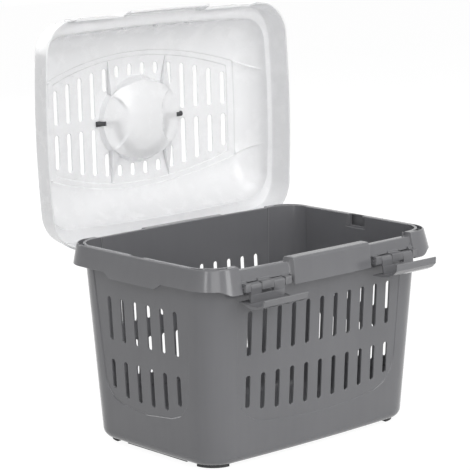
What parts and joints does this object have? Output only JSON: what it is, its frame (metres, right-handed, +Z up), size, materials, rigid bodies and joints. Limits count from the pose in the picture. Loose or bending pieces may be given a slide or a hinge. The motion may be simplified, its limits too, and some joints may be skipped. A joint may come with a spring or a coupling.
{
  "type": "pet carrier",
  "caption": "Small two-part plastic pet carrier: slotted tub with flared rim, domed hinged lid standing open, two latches, and a handle folded in a dish on the lid.",
  "frame": {"origin": "on the floor, under the middle of the open keeper's bounding box", "axes": "+Z up, +X along the tub's long side towards the right latch, +Y towards the lid hinge and the open lid"},
  "size_m": [0.4802, 0.461, 0.6067],
  "materials": {
    "tub_plastic": "fine moulded satin, mid grey polypropylene",
    "latch_plastic": "smooth moulded satin, mid grey polypropylene",
    "lid_plastic": "glossy, slightly milky white polypropylene",
    "handle_plastic": "satin dark grey",
    "foot_rubber": "soft matt dark grey",
    "pin_steel": "drawn wire, brushed"
  },
  "bodies": {
    "base": {"tub": "tub_plastic", "latch_pin_left": "pin_steel", "latch_pin_right": "pin_steel", "lid_hinge_pin_left": "pin_steel", "lid_hinge_pin_right": "pin_steel", "foot_front_left": "foot_rubber", "foot_front_right": "foot_rubber", "foot_back_left": "foot_rubber", "foot_back_right": "foot_rubber"},
    "lid": {"lid": "lid_plastic"},
    "latch_left": {"latch_left": "latch_plastic"},
    "latch_right": {"latch_right": "latch_plastic"},
    "carry_handle": {"carry_handle": "handle_plastic"}
  },
  "joints": [
    {"name": "lid_hinge", "type": "hinge", "parent": "base", "child": "lid", "pos_m": [0, 0.14473, 0.2649], "axis": [1, 0, 0], "range_deg": [0, 91.47]},
    {"name": "latch_left_hinge", "type": "hinge", "parent": "base", "child": "latch_left", "pos_m": [-0.128, -0.18707, 0.2605], "axis": [-1, 0, 0], "range_deg": [0, 105]},
    {"name": "latch_right_hinge", "type": "hinge", "parent": "base", "child": "latch_right", "pos_m": [0.128, -0.18707, 0.2605], "axis": [-1, 0, 0], "range_deg": [-15, 90]},
    {"name": "handle_pivot", "type": "hinge", "parent": "lid", "child": "carry_handle", "pos_m": [0, 0.2213, 0.43378], "axis": [1, 0, 0], "range_deg": [-1.48, 178.53]}
  ]
}
